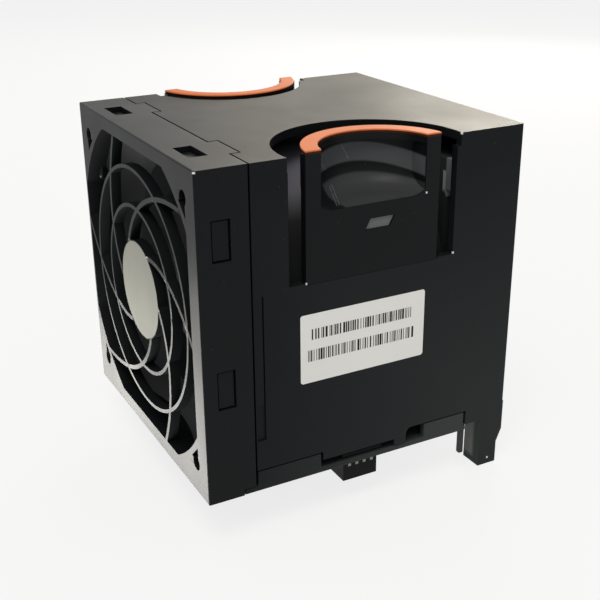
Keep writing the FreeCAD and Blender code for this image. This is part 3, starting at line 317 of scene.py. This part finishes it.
@dataclass(frozen=True)
class Metal:
    """A bare metal whose working left fine lines or spots in it."""

    name: str
    colour: str
    shade: str
    roughness: float = 0.3
    mark_mm: float = 0.5
    depth_mm: float = 0.004
    mark_detail: float = 4.0
    mark_strength: float = 0.5
    smoother: float = 0.08
    rougher: float = 0.12

    def material(self) -> bpy.types.Material:
        """Makes the material."""
        material, tree, surface = blank_material(self.name)
        place = add_node(tree, "ShaderNodeTexCoord").outputs["Object"]
        marks = add_node(
            tree,
            "ShaderNodeTexNoise",
            {"Scale": 1 / (self.mark_mm * MM), "Detail": self.mark_detail},
            {"Vector": place},
        ).outputs["Fac"]
        tint = add_node(
            tree,
            "ShaderNodeMix",
            {"data_type": "RGBA", 6: linear(self.colour), 7: linear(self.shade)},
            {"Factor": marks},
        ).outputs[2]
        gloss = add_node(
            tree,
            "ShaderNodeMapRange",
            {"To Min": self.roughness - self.smoother, "To Max": self.roughness + self.rougher},
            {"Value": marks},
        ).outputs["Result"]
        bump = add_node(
            tree,
            "ShaderNodeBump",
            {"Strength": self.mark_strength, "Distance": self.depth_mm * MM},
            {"Height": marks},
        ).outputs["Normal"]
        shader = add_node(
            tree,
            "ShaderNodeBsdfPrincipled",
            {"Metallic": 1.0},
            {"Base Color": tint, "Roughness": gloss, "Normal": bump},
        )
        tree.links.new(shader.outputs["BSDF"], surface)
        return material


# Painted reflection: a paler grey towards the foot and the rear of the sides, standing in for the bright floor they
# reflect.
SIDE_PAINTED_REFLECTION = Patch("#26292A", (30, 30, 10), (45, 60, 20), fade=60.0)
TRAY_PAINTED_REFLECTION = Patch("#3A3D3D", (30, 20, 4), (45, 60, 20), fade=50.0)
# Painted glints: tiny bright dots at a moulding's free corners, where the edges catch the light.
GLINT_WHITE = "#E6E8E6"
GLINT_FADE = 0.1
SHELL_GLINTS = (
    Patch(GLINT_WHITE, (36.0, 21.8, 59.0), (36.5, 22.2, 59.4), fade=GLINT_FADE),
    Patch(GLINT_WHITE, (35.8, 22.6, 86.2), (36.5, 23.0, 86.7), fade=GLINT_FADE),
    Patch(GLINT_WHITE, (36.1, 35.8, 1.5), (36.5, 36.2, 1.9), fade=GLINT_FADE),
)
# Painted reflection: the inner half of the leg's front face is painted pale, as a front face reflects the bright
# floor.
LEG_PAINTED_REFLECTION = Patch("#6C6E6D", (28, 32.8, 2.5), (33.2, 33.5, 11), fade=1.2)
# Filled black polycarbonate-ABS from an eroded mould: nearly black head on, and grey where light grazes it.
SHELL = MouldedPlastic(
    "moulded_black_pc_abs",
    "#0C0E11",
    "#121416",
    roughness=0.44,
    roughness_swing=0.03,
    dust=0.25,
    # Painted reflection on the side and the leg, and painted glints at the corners.
    patches=(SIDE_PAINTED_REFLECTION, LEG_PAINTED_REFLECTION, *SHELL_GLINTS),
)
# The same plastic from another tool: a little smoother and paler, so that the seam reads.
FRAME = MouldedPlastic(
    "moulded_black_frame_pc_abs",
    "#0E1012",
    "#141517",
    roughness=0.42,
    roughness_swing=0.03,
    dust=0.2,
    # Painted reflection on the side, and a painted glint at the top front corner.
    patches=(SIDE_PAINTED_REFLECTION, Patch(GLINT_WHITE, (36.0, -39.9, 86.1), (36.5, -39.4, 86.4), fade=GLINT_FADE)),
)
# The tray's duller, slightly paler black sets the foot apart from the sides.
TRAY = MouldedPlastic(
    # Painted reflection: paler towards the foot and the rear.
    "moulded_black_tray_pc_abs", "#131517", "#191B1D", roughness=0.46, dust=0.2, patches=(TRAY_PAINTED_REFLECTION,)
)
# Painted light on the scoop's wall and bowl, which catch light that the undercut between them doesn't; then two
# painted glints.
SCOOP_PAINTED_LIGHT = (
    Patch("#525456", (20, -9, 80.3), (35.6, 14.6, 84.0), fade=0.5, sag=2.2),
    Patch("#3E4041", (23, -5.5, 73.0), (35.6, 13.6, 77.2), fade=0.6, sag=1.0),
    Patch(GLINT_WHITE, (36.1, 14.0, 74.3), (36.5, 14.3, 74.6), fade=GLINT_FADE),
    Patch(GLINT_WHITE, (36.0, -15.8, 58.7), (36.5, -15.4, 59.1), fade=GLINT_FADE),
)
# Natural-surface acetal: slicker than the shell, so that the bowl shines a little.
LATCH = MouldedPlastic(
    # Painted light and glints in the scoop.
    "moulded_black_latch_acetal", "#0D0F11", "#131416", roughness=0.38, dust=0.2, patches=SCOOP_PAINTED_LIGHT
)
# A shallower grain keeps the grille's thin ribs crisp.
GRILLE = MouldedPlastic(
    "moulded_black_grille_pc_abs", "#141618", "#1A1C1D", roughness=0.4, grain_depth_mm=0.006, specular=0.06
)
# Glass-filled polyester: matt, its black painted up to a dark grey as light for the shaded inside, with purplish
# painted light on the front barrel and a painted bright sliver on the rear frame's corner.
FAN_PAINTED_LIGHT = (
    Patch("#66666E", (4, -16, 73.5), (30, 3, 81), fade=5.0),
    Patch("#A8AAA8", (29.2, 23.3, 70.6), (30.3, 24.7, 76.3), fade=0.3, lean=-1.6),
)
FAN = MouldedPlastic(
    "moulded_black_glass_filled_pbt", "#303234", "#383A3C", roughness=0.6, specular=0.06, dust=0.4, patches=FAN_PAINTED_LIGHT
)
# The blades are the glossiest black, which gives them thin highlights behind the grille.
BLADE = MouldedPlastic(
    "moulded_black_impeller_pbt", "#0C0E0F", "#121415", roughness=0.34, grain_depth_mm=0.006, specular=0.12
)
# Nylon: the darkest plastic, with a dull sheen.
PLUG = MouldedPlastic("moulded_black_nylon", "#0A0B0C", "#0F1011", roughness=0.45)
# Orange acetal: a saturated top band with a faint sheen, over a side painted dark brown as the shade that the scoop
# leaves there.
GRIP = MouldedPlastic(
    "moulded_orange_acetal",
    "#E07B45",
    "#D8733E",
    roughness=0.5,
    roughness_swing=0.05,
    grain_depth_mm=0.004,
    specular=0.08,
    # Painted shade on the side below the top band.
    patches=(Patch("#3A1C14", (0, -40, 80), (45, 40, 87.05), fade=0.1),),
)
# Painted light: an even mid grey plate that hides what lies behind the sight hole, coloured to stand in for the lit
# surface seen through it.
SIGHT_HOLE_PAINTED_LIGHT = MouldedPlastic("grey_plate_painted_light", "#707271", "#676968", roughness=0.6, grain_mm=0.5)
# Painted highlights: the ridges are coloured pale to stand in for the light their edges catch.
RIDGE_PAINTED_HIGHLIGHT = MouldedPlastic("black_acetal_ridge_painted_highlight", "#7E807F", "#6C6E6D", roughness=0.35, grain_mm=0.5)
# Matt vinyl film on the grille's hub: a warm pale grey with hardly any shine.
HUB_FILM = MouldedPlastic(
    "matt_grey_vinyl_film", "#8A8A81", "#82827A", roughness=0.6, grain_mm=0.6, grain_depth_mm=0.004
)
# Coated label paper, nearly white and even, and flat black print on it.
PAPER = MouldedPlastic("coated_white_label_paper", "#F4F4EF", "#EDEDE8", roughness=0.5, grain_mm=0.5)
INK = MouldedPlastic("black_thermal_transfer_ink", "#1A1A1B", "#242425", roughness=0.45, grain_mm=0.4)
# Pieces inside: a grey sticker, soft grey pads, a satin cable sleeve and a green board.
STICKER = MouldedPlastic("coated_grey_label_paper", "#C9CAC8", "#BDBEBC", roughness=0.5, grain_mm=0.5)
RUBBER = MouldedPlastic("moulded_grey_silicone_rubber", "#6E7275", "#7A7E80", roughness=0.6)
SLEEVE = MouldedPlastic("extruded_black_pvc_sleeve", "#141415", "#1B1B1C", roughness=0.4, grain_mm=1.0)
BOARD = MouldedPlastic("green_solder_mask_on_glass_epoxy", "#1E4A33", "#27573D", roughness=0.35)
# Drawn, turned or stamped metals inside the motors, and the plated contacts.
CONTACT = Metal("dull_tin_plated_bronze", "#8C8981", "#6E6B64", roughness=0.4)
YOKE = Metal("deep_drawn_steel", "#9B9DA0", "#85878A", roughness=0.35)
SHAFT = Metal("ground_steel", "#C4C6C8", "#B4B6B8", roughness=0.18)
BRASS = Metal("turned_brass", "#C9A45A", "#B8944E", roughness=0.25)
MAGNET = Metal("bonded_ferrite", "#4A4A4D", "#3C3C3F", roughness=0.5)
CORE = Metal("stacked_silicon_steel", "#7F8285", "#6C6F72", roughness=0.4)
COPPER = Metal("enamelled_copper_wire", "#B8683C", "#9C532D", roughness=0.32)


class Finishes:
    """Makes each finish once and hands it out."""

    made: dict[str, bpy.types.Material] = {}

    @classmethod
    def of(cls, finish: MouldedPlastic | Metal) -> bpy.types.Material:
        """The finish's material, made at its first use."""
        if finish.name not in cls.made:
            cls.made[finish.name] = finish.material()
        return cls.made[finish.name]


def dress(name: str, finish: MouldedPlastic | Metal) -> bpy.types.Object:
    """Gives a carried-over solid its finish.

    Args:
        name: the CAD node.
        finish: the finish for all of it.

    Returns:
        The node's object.
    """
    node = bpy.data.objects[name]
    for material_slot in node.material_slots:
        material_slot.link = "OBJECT"
        material_slot.material = Finishes.of(finish)
    return node


def shading_group() -> bpy.types.NodeTree:
    """A modifier group that joins a solid's split corners and shades it smooth."""
    name = "join_and_smooth"
    if name in bpy.data.node_groups:
        return bpy.data.node_groups[name]
    tree = bpy.data.node_groups.new(name, "GeometryNodeTree")
    tree.interface.new_socket("Geometry", in_out="INPUT", socket_type="NodeSocketGeometry")
    tree.interface.new_socket("Geometry", in_out="OUTPUT", socket_type="NodeSocketGeometry")
    source = add_node(tree, "NodeGroupInput").outputs[0]
    joined = add_node(tree, "GeometryNodeMergeByDistance", {"Distance": JOIN_DISTANCE_MM * MM}, {"Geometry": source})
    smooth = add_node(tree, "GeometryNodeSetShadeSmooth", links={"Geometry": joined.outputs[0]})
    add_node(tree, "NodeGroupOutput", links={0: smooth.outputs[0]})
    return tree


def ease_edges(node: bpy.types.Object, width_mm: float, angle: float = 32.0) -> None:
    """Rounds a solid's sharp edges as a mould does, so that they catch the light.

    Args:
        node: the solid's object.
        width_mm: the width of the rounding.
        angle: the least angle, in degrees, at which an edge counts as sharp.
    """
    group = node.modifiers.new("join", "NODES")
    group.node_group = shading_group()
    bevel = node.modifiers.new("edge", "BEVEL")
    bevel.width = width_mm * MM
    bevel.segments = EDGE_SEGMENTS
    bevel.limit_method = "ANGLE"
    bevel.angle_limit = math.radians(angle)
    bevel.use_clamp_overlap = True
    bevel.miter_outer = "MITER_ARC"
    normals = node.modifiers.new("normals", "WEIGHTED_NORMAL")
    normals.weight = NORMAL_WEIGHT
    normals.keep_sharp = False


def new_mesh(name: str, fill: Callable[[bmesh.types.BMesh], None], finish: MouldedPlastic | Metal) -> bpy.types.Object:
    """Makes a mesh object in the row frame.

    Args:
        name: the piece's name.
        fill: a function that puts the geometry in, in metres.
        finish: the piece's finish.

    Returns:
        The new object, linked to the scene.
    """
    mesh = bpy.data.meshes.new(name)
    work = bmesh.new()
    fill(work)
    bmesh.ops.recalc_face_normals(work, faces=work.faces)
    work.to_mesh(mesh)
    work.free()
    piece = bpy.data.objects.new(name, mesh)
    bpy.context.scene.collection.objects.link(piece)
    mesh.materials.append(Finishes.of(finish))
    return piece


def add_slab(work: bmesh.types.BMesh, low: Vector, high: Vector) -> None:
    """Adds a closed block between two corners, in metres."""
    corners = [work.verts.new((x, y, z)) for x in (low.x, high.x) for y in (low.y, high.y) for z in (low.z, high.z)]
    for face in ((0, 1, 3, 2), (4, 6, 7, 5), (0, 4, 5, 1), (2, 3, 7, 6), (0, 2, 6, 4), (1, 5, 7, 3)):
        work.faces.new([corners[i] for i in face])


def add_walls(
    work: bmesh.types.BMesh, near: list[bmesh.types.BMVert], far: list[bmesh.types.BMVert]
) -> None:
    """Joins two closed outlines of as many corners with a band of four-sided faces."""
    for number in range(len(near)):
        following = (number + 1) % len(near)
        work.faces.new((near[number], near[following], far[following], far[number]))


@dataclass
class InletFace:
    """The front moulding, its spiral grille and the film on the grille's hub."""

    edge: float = 0.15
    rib_edge: float = 0.34

    def build(self) -> None:
        """Dresses the three front pieces."""
        ease_edges(dress("inlet_frame", FRAME), self.edge)
        ease_edges(dress("inlet_grille", GRILLE), self.rib_edge)
        dress("hub_disc", HUB_FILM)


@dataclass
class Shell:
    """The shroud with its floor tray."""

    edge: float = 0.25

    def build(self) -> None:
        """Dresses the shroud and the tray."""
        ease_edges(dress("housing_shroud", SHELL), self.edge)
        ease_edges(dress("base_tray", TRAY), self.edge)


@dataclass
class SqueezeLatch:
    """A side latch with its finger scoop, coloured grip and a plate of painted light in its sight hole."""

    side: Side
    edge: float = 0.2
    grip_edge: float = 0.3
    plate_face: float = 35.9
    plate_back: float = 35.3
    plate_outline: tuple[tuple[float, float], ...] = ((-1.2, 68.45), (4.85, 68.45), (6.1, 70.75), (0.05, 70.75))
    ridges: tuple[tuple[tuple[float, float, float], ...], ...] = (
        ((25.1, -3.2, 76.0), (26.6, -3.3, 74.8), (29.5, -4.3, 74.1), (34.0, -6.3, 74.1)),
        ((25.5, -3.9, 75.8), (27.0, -4.1, 74.7), (29.9, -5.1, 74.1), (34.1, -7.0, 74.1)),
        ((24.8, -5.5, 80.9), (24.6, -4.9, 80.0), (24.3, -4.3, 79.1)),
        ((23.4, 0.2, 83.9), (23.4, 1.2, 82.2), (23.5, 2.1, 80.6)),
    )
    ridge_width: float = 0.22
    ridge_height: float = 0.12
    ridge_up: tuple[float, float, float] = (0.6, 0.1, 0.8)

    def painted_light_plate(self, work: bmesh.types.BMesh) -> None:
        """Adds a leaning four-sided plate inside the sight hole, painted grey as the light seen through it."""
        faces = [
            [work.verts.new(Vector((self.side.value * x, y, z)) * MM) for y, z in self.plate_outline]
            for x in (self.plate_back, self.plate_face)
        ]
        work.faces.new(faces[0])
        work.faces.new(faces[1][::-1])
        add_walls(work, *faces)

    def scoop_ridges(self, work: bmesh.types.BMesh) -> None:
        """Adds the fine ridges that run down the scoop, each a strip with a raised middle."""
        up = Vector((self.side.value * self.ridge_up[0], *self.ridge_up[1:]))
        for ridge in self.ridges:
            points = [Vector((self.side.value * x, y, z)) * MM for x, y, z in ridge]
            rows = []
            for number, point in enumerate(points):
                along = points[min(number + 1, len(points) - 1)] - points[max(number - 1, 0)]
                across = along.cross(up).normalized()
                out = across.cross(along).normalized() * self.ridge_height * MM
                half = across * self.ridge_width * MM / 2
                if out.dot(up) < 0:
                    out = -out
                rows.append([work.verts.new(v) for v in (point - half - out, point + out, point + half - out)])
            for near, far in zip(rows, rows[1:]):
                add_walls(work, near, far)
            work.faces.new(rows[0])
            work.faces.new(rows[-1][::-1])

    def build(self) -> None:
        """Dresses the latch and its grip, and adds the painted-light plate and the ridges."""
        name = self.side.name.lower()
        ease_edges(dress(f"release_latch_{name}", LATCH), self.edge)
        ease_edges(dress(f"finger_grip_{name}", GRIP), self.grip_edge)
        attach(new_mesh(f"sight_hole_painted_light_{name}", self.painted_light_plate, SIGHT_HOLE_PAINTED_LIGHT), f"latch_{name}")
        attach(new_mesh(f"scoop_ridges_{name}", self.scoop_ridges, RIDGE_PAINTED_HIGHLIGHT), f"latch_{name}")


@dataclass
class FanUnit:
    """One fan: frame, impeller and motor."""

    end: End
    edge: float = 0.2

    def build(self) -> None:
        """Dresses the fan."""
        end = self.end.value
        ease_edges(dress(f"fan_frame_{end}", FAN), self.edge)
        ease_edges(dress(f"impeller_{end}", BLADE), self.edge)
        finishes = {
            "rotor_yoke": YOKE,
            "magnet_ring": MAGNET,
            "rotor_shaft": SHAFT,
            "shaft_clip": SHAFT,
            "bearing_tube": BRASS,
            "ball_bearings": SHAFT,
            "stator_core": CORE,
            "coil_windings": COPPER,
            "driver_board": BOARD,
        }
        for part, finish in finishes.items():
            dress(f"{part}_{end}", finish)


@dataclass
class Outlet:
    """The duct behind the rear fan, and its finger guard."""

    edge: float = 0.2

    def build(self) -> None:
        """Dresses the duct, the guard and the pads that hold the fans."""
        ease_edges(dress("outlet_duct", FAN), self.edge)
        ease_edges(dress("outlet_guard", GRILLE), self.edge)
        for end in End:
            ease_edges(dress(f"isolator_pads_{end.value}", RUBBER), self.edge)


@dataclass
class Connector:
    """The blind-mate connector with its contacts and leads."""

    edge: float = 0.12

    def build(self) -> None:
        """Dresses the connector."""
        ease_edges(dress("connector_housing", PLUG), self.edge)
        dress("connector_contacts", CONTACT)
        dress("fan_leads", SLEEVE)


@dataclass
class SideLabel:
    """The plain label: coated paper with two rows of generic bars."""

    corner: float = 0.7
    steps: int = 6
    ink: float = 0.012
    upper_row: tuple[float, float, float, float] = (-14.3, 11.2, 45.7, 48.2)
    lower_row: tuple[float, float, float, float] = (-15.2, 12.5, 40.6, 43.3)
    narrow: float = 0.17
    bar_widths: tuple[int, ...] = (1, 1, 1, 2, 2, 3)
    gap_widths: tuple[int, ...] = (1, 1, 2, 2, 3)
    seed: int = 11

    def paper(self, work: bmesh.types.BMesh) -> None:
        """Adds the round-cornered sheet, just under the solid's face."""
        low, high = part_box("side_label")
        centre = (low + high) / 2
        radius = self.corner * MM
        outline = []
        corners = ((high.y, high.z, 0), (low.y, high.z, 1), (low.y, low.z, 2), (high.y, low.z, 3))
        for y, z, quarter in corners:
            middle_y = y - math.copysign(radius, y - centre.y)
            middle_z = z - math.copysign(radius, z - centre.z)
            for step in range(self.steps + 1):
                angle = math.radians(90 * (quarter + step / self.steps))
                outline.append((middle_y + radius * math.cos(angle), middle_z + radius * math.sin(angle)))
        face_x = high.x - self.ink * MM
        front = [work.verts.new((face_x, y, z)) for y, z in outline]
        rear = [work.verts.new((low.x, y, z)) for y, z in outline]
        work.faces.new(front)
        work.faces.new(rear[::-1])
        add_walls(work, rear, front)

    def bars(self, work: bmesh.types.BMesh) -> None:
        """Adds two rows of upright bars whose widths follow a seeded shuffle and mean nothing."""
        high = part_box("side_label")[1]
        shuffle = random.Random(self.seed)
        for start, end, foot, head in (self.upper_row, self.lower_row):
            y = start
            while y < end:
                width = self.narrow * shuffle.choice(self.bar_widths)
                stop = min(y + width, end)
                low = Vector((high.x - 2 * self.ink * MM, y * MM, foot * MM))
                add_slab(work, low, Vector((high.x, stop * MM, head * MM)))
                y = stop + self.narrow * shuffle.choice(self.gap_widths)

    def build(self) -> None:
        """Makes the sheet and its print."""
        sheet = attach(new_mesh("label_sheet", self.paper, PAPER), "cartridge")
        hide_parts("side_label")
        print_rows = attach(new_mesh("label_bars", self.bars, INK), "cartridge")
        dress("fan_label", STICKER)


def sight_rays(tree: bpy.types.NodeTree) -> bpy.types.NodeSocket:
    """Tells the rays that see a surface from those that light others with it.

    Args:
        tree: the nodes of a material or of the world.

    Returns:
        A socket that is 1 for camera, gloss and transmission rays, and 0 for others.
    """
    rays = add_node(tree, "ShaderNodeLightPath").outputs
    seen = add_node(
        tree, "ShaderNodeMath", {"operation": "MAXIMUM"}, {0: rays["Is Camera Ray"], 1: rays["Is Glossy Ray"]}
    ).outputs[0]
    return add_node(
        tree, "ShaderNodeMath", {"operation": "MAXIMUM"}, {0: seen, 1: rays["Is Transmission Ray"]}
    ).outputs[0]


@dataclass(frozen=True)
class Lamp:
    """A soft rectangular lamp that faces the module's middle or, when upward, straight up from where it lies."""

    name: str
    place: tuple[float, float, float]
    size: tuple[float, float]
    power: float
    tone: str
    upward: bool = False

    def build(self) -> None:
        """Adds the lamp, hidden from the camera."""
        data = bpy.data.lights.new(self.name, "AREA")
        data.shape = "RECTANGLE"
        data.size, data.size_y = (length * MM for length in self.size)
        data.energy = self.power
        data.color = linear(self.tone)[:3]
        lamp = bpy.data.objects.new(self.name, data)
        bpy.context.scene.collection.objects.link(lamp)
        lamp.location = Vector(self.place) * MM
        middle = sum(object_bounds(), Vector()) / 2
        aim = Vector((0, 0, 1)) if self.upward else middle - lamp.location
        lamp.rotation_euler = aim.to_track_quat("-Z", "Y").to_euler()
        lamp.visible_camera = False


@dataclass
class Studio:
    """A pale floor, soft lamps and the camera."""

    floor_size_m: float = 30.0
    floor_drop: float = 0.02
    floor_glow: float = 0.8
    sky_tone: str = "#F4F6FA"
    sky_strength: float = 0.55
    camera_at: tuple[float, float, float] = (212.25, -110.33, 139.04)
    azimuth: float = 62.08
    elevation: float = 22.73
    roll: float = -0.5
    lens: float = 61.6
    sensor: float = 36.0
    clip_start_m: float = 0.01
    lamps: tuple[Lamp, ...] = (
        Lamp("key_above", (300, -250, 700), (300, 300), 2.3, "#FFF8EE"),
        Lamp("glare_behind", (-480, 480, 240), (200, 120), 1.0, "#FFF6E6"),
        Lamp("haze_behind", (-620, 420, 364), (360, 160), 0.8, "#FFF4DC"),
        Lamp("front_floor", (-35, -59, 0.5), (150, 30), 0.11, "#FFFDF6", upward=True),
    )

    def floor(self) -> None:
        """Adds the floor, white to the camera apart from a soft shadow."""
        half = self.floor_size_m / 2
        mesh = bpy.data.meshes.new("studio_floor")
        mesh.from_pydata([(-half, -half, 0), (half, -half, 0), (half, half, 0), (-half, half, 0)], [], [(0, 1, 2, 3)])
        floor = bpy.data.objects.new("studio_floor", mesh)
        bpy.context.scene.collection.objects.link(floor)
        floor.location.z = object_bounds()[0].z - self.floor_drop * MM
        material, tree, surface = blank_material("white_seamless_paper")
        seen = sight_rays(tree)
        share = add_node(tree, "ShaderNodeMath", {"operation": "MULTIPLY", 1: self.floor_glow}, {0: seen}).outputs[0]
        paper = add_node(tree, "ShaderNodeBsdfDiffuse", {"Color": linear("#E8E8E6")}).outputs[0]
        glow = add_node(tree, "ShaderNodeEmission", {"Color": linear("#FFFFFF"), "Strength": 1.0}).outputs[0]
        mixed = add_node(tree, "ShaderNodeMixShader", links={0: share, 1: paper, 2: glow}).outputs[0]
        tree.links.new(mixed, surface)
        mesh.materials.append(material)
        floor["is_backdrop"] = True

    def world(self) -> None:
        """Lights everything softly, with a white background for what the camera and gloss see."""
        world = bpy.data.worlds.new("studio_world")
        bpy.context.scene.world = world
        world.use_nodes = True
        tree = world.node_tree
        tree.nodes.clear()
        seen = sight_rays(tree)
        light = add_node(
            tree, "ShaderNodeBackground", {"Color": linear(self.sky_tone), "Strength": self.sky_strength}
        ).outputs[0]
        white = add_node(tree, "ShaderNodeBackground", {"Color": linear("#FFFFFF"), "Strength": 1.0}).outputs[0]
        mixed = add_node(tree, "ShaderNodeMixShader", links={0: seen, 1: light, 2: white}).outputs[0]
        add_node(tree, "ShaderNodeOutputWorld", links={"Surface": mixed})

    def camera(self) -> None:
        """Places the camera at the module's viewing angle."""
        data = bpy.data.cameras.new("studio_camera")
        data.sensor_width = self.sensor
        data.lens = self.lens
        data.clip_start = self.clip_start_m
        camera = bpy.data.objects.new("studio_camera", data)
        bpy.context.scene.collection.objects.link(camera)
        turn = (
            Matrix.Rotation(math.radians(self.azimuth), 4, "Z")
            @ Matrix.Rotation(math.radians(90 - self.elevation), 4, "X")
            @ Matrix.Rotation(math.radians(self.roll), 4, "Z")
        )
        camera.matrix_world = Matrix.Translation(Vector(self.camera_at) * MM) @ turn
        bpy.context.scene.camera = camera

    def build(self) -> None:
        """Sets the stage."""
        bpy.context.scene.view_settings.view_transform = "Standard"
        self.floor()
        self.world()
        for lamp in self.lamps:
            lamp.build()
        self.camera()


def main() -> None:
    """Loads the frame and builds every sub-assembly."""
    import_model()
    parts = [
        InletFace(),
        Shell(),
        *[SqueezeLatch(side) for side in Side],
        *[FanUnit(end) for end in End],
        Outlet(),
        Connector(),
        SideLabel(),
        Studio(),
    ]
    for part in parts:
        part.build()
        LOG.info("built %s", part)


if __name__ == "__main__":
    logging.basicConfig(level=logging.INFO)
    main()
